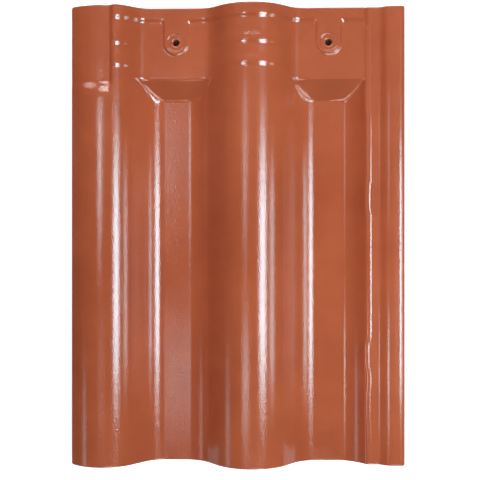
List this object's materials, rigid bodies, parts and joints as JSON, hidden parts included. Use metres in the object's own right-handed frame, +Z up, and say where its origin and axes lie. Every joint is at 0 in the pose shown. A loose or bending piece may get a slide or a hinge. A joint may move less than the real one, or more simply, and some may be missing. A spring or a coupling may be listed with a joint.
{
  "type": "clay roof tile",
  "caption": "Interlocking glazed clay roof tile with raised rolls and flat pans, a side lock, a stepped head lap with nail holes, and nibs that hook over a batten.",
  "frame": {"origin": "centre of the tile's bounding box at its base, on the plane that the undersides of the pans and the nibs lie on", "axes": "+Y up the roof towards the head, +X across towards the flange that the neighbour covers, +Z up out of the roof"},
  "size_m": [0.302, 0.415, 0.0454],
  "materials": {
    "glazed_clay": "glossy orange-brown glaze on pressed red clay"
  },
  "bodies": {
    "root": {"roof_tile": "glazed_clay"}
  },
  "joints": []
}
